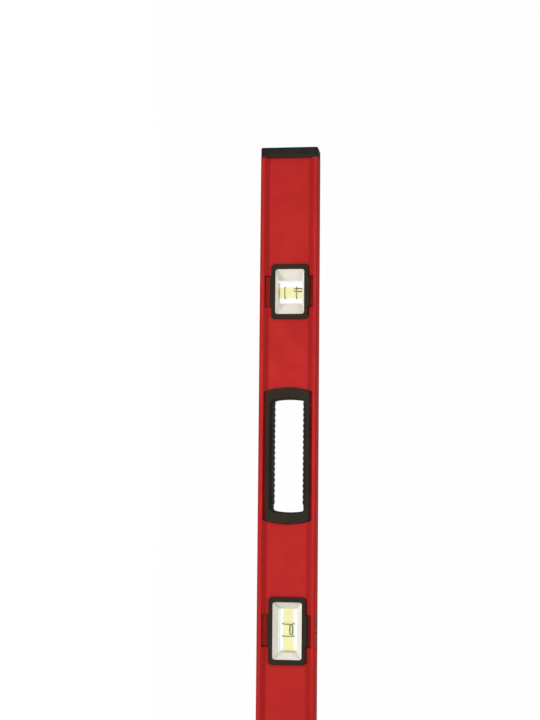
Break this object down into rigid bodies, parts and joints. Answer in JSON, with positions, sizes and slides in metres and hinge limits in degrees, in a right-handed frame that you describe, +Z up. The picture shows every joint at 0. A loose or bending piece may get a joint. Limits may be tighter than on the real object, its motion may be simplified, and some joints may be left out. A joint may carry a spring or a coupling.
{
  "type": "spirit level",
  "caption": "Box-section spirit level with a level vial, plumb vials in framed windows, ribbed hand slots and pull-off end caps.",
  "frame": {"origin": "centre of the lower measuring face, halfway along the level", "axes": "+X along the level, +Y through its thickness from the front face to the back face, +Z up from the lower measuring face to the top face with the reading lens"},
  "size_m": [1, 0.027, 0.06],
  "materials": {
    "red_coating": "satin red powder coat on extruded aluminium",
    "black_plastic": "fine-grained moulded black plastic",
    "soft_rubber": "soft black moulded rubber",
    "white_plastic": "smooth warm white moulded reflector",
    "clear_acrylic": "polished clear acrylic",
    "vial_liquid": "clear yellow-green liquid",
    "air_bubble": "air bubble with a dark outline",
    "black_ring": "thin black reading ring"
  },
  "bodies": {
    "level": {"profile": "red_coating", "left_plumb_front_frame": "black_plastic", "left_plumb_front_reflector": "white_plastic", "left_plumb_back_frame": "black_plastic", "left_plumb_back_reflector": "white_plastic", "left_plumb_vial_block": "clear_acrylic", "left_plumb_vial_liquid": "vial_liquid", "left_plumb_vial_rings": "black_ring", "left_plumb_vial_plug": "clear_acrylic", "right_plumb_front_frame": "black_plastic", "right_plumb_front_reflector": "white_plastic", "right_plumb_back_frame": "black_plastic", "right_plumb_back_reflector": "white_plastic", "right_plumb_vial_block": "clear_acrylic", "right_plumb_vial_liquid": "vial_liquid", "right_plumb_vial_rings": "black_ring", "right_plumb_vial_plug": "clear_acrylic", "centre_front_frame": "black_plastic", "centre_front_reflector": "white_plastic", "centre_back_frame": "black_plastic", "centre_back_reflector": "white_plastic", "centre_vial_block": "clear_acrylic", "centre_vial_liquid": "vial_liquid", "centre_vial_rings": "black_ring", "centre_vial_plug": "clear_acrylic", "centre_top_lens": "clear_acrylic", "left_grip_front_shell": "black_plastic", "left_grip_back_shell": "black_plastic", "left_grip_lower_pad": "soft_rubber", "left_grip_upper_pad": "soft_rubber", "right_grip_front_shell": "black_plastic", "right_grip_back_shell": "black_plastic", "right_grip_lower_pad": "soft_rubber", "right_grip_upper_pad": "soft_rubber"},
    "left_plumb_bubble": {"left_plumb_vial_bubble": "air_bubble"},
    "right_plumb_bubble": {"right_plumb_vial_bubble": "air_bubble"},
    "centre_bubble": {"centre_vial_bubble": "air_bubble"},
    "left_cap": {"left_cap_insert": "black_plastic", "left_cap_bumper": "soft_rubber"},
    "right_cap": {"right_cap_insert": "black_plastic", "right_cap_bumper": "soft_rubber"}
  },
  "joints": [
    {"name": "left_plumb_bubble_travel", "type": "slide", "parent": "level", "child": "left_plumb_bubble", "axis": [0, 0, 1], "range_m": [-0.016, 0], "stiffness_N_per_m": 4},
    {"name": "right_plumb_bubble_travel", "type": "slide", "parent": "level", "child": "right_plumb_bubble", "axis": [0, 0, 1], "range_m": [-0.016, 0], "stiffness_N_per_m": 4},
    {"name": "centre_bubble_travel", "type": "slide", "parent": "level", "child": "centre_bubble", "axis": [1, 0, 0], "range_m": [-0.0085, 0.0085], "stiffness_N_per_m": 4},
    {"name": "left_cap_pull_off", "type": "slide", "parent": "level", "child": "left_cap", "axis": [-1, 0, 0], "range_m": [0, 0.04]},
    {"name": "right_cap_pull_off", "type": "slide", "parent": "level", "child": "right_cap", "axis": [1, 0, 0], "range_m": [0, 0.04]}
  ]
}
